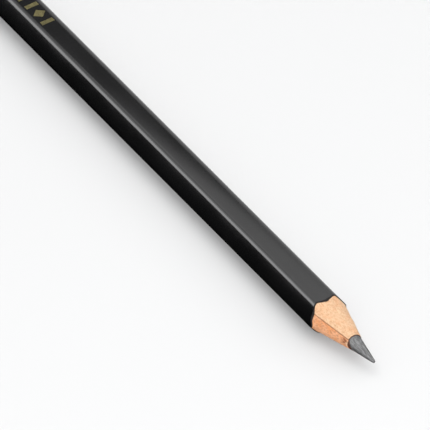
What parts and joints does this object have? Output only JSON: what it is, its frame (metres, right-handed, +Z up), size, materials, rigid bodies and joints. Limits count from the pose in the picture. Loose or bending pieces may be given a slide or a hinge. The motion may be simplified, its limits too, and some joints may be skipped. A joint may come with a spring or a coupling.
{
  "type": "graphite pencil",
  "caption": "Sharpened hexagonal wood-cased graphite pencil with black lacquer, a bare wood and graphite point, a dipped rear end and a row of plain foil marks.",
  "frame": {"origin": "on the surface that the pencil lies on, below the middle of its length", "axes": "+X along the pencil towards its point, +Z up out of the flat that carries the foil marks"},
  "size_m": [0.175, 0.0078, 0.007],
  "materials": {
    "graphite": "fired graphite and clay, ground to a satin grey with fine lengthwise scratches",
    "upper_wood": "bare sanded softwood, pale peach, fine grain along the pencil",
    "lower_wood": "bare sanded softwood, redder and rougher than the other slat",
    "glue": "thin dried glue line, dark brown",
    "filler": "matte grey filler coat, seen only at the cut edge",
    "lacquer": "satin black lacquer",
    "dip": "glossy black dipped lacquer",
    "foil": "hot-pressed gold foil, slightly worn"
  },
  "bodies": {
    "root": {"graphite_lead": "graphite", "upper_slat": "upper_wood", "lower_slat": "lower_wood", "left_joint_glue": "glue", "right_joint_glue": "glue", "lead_glue": "glue", "undercoat": "filler", "black_lacquer": "lacquer", "end_dip": "dip", "foil_marks": "foil"}
  },
  "joints": []
}
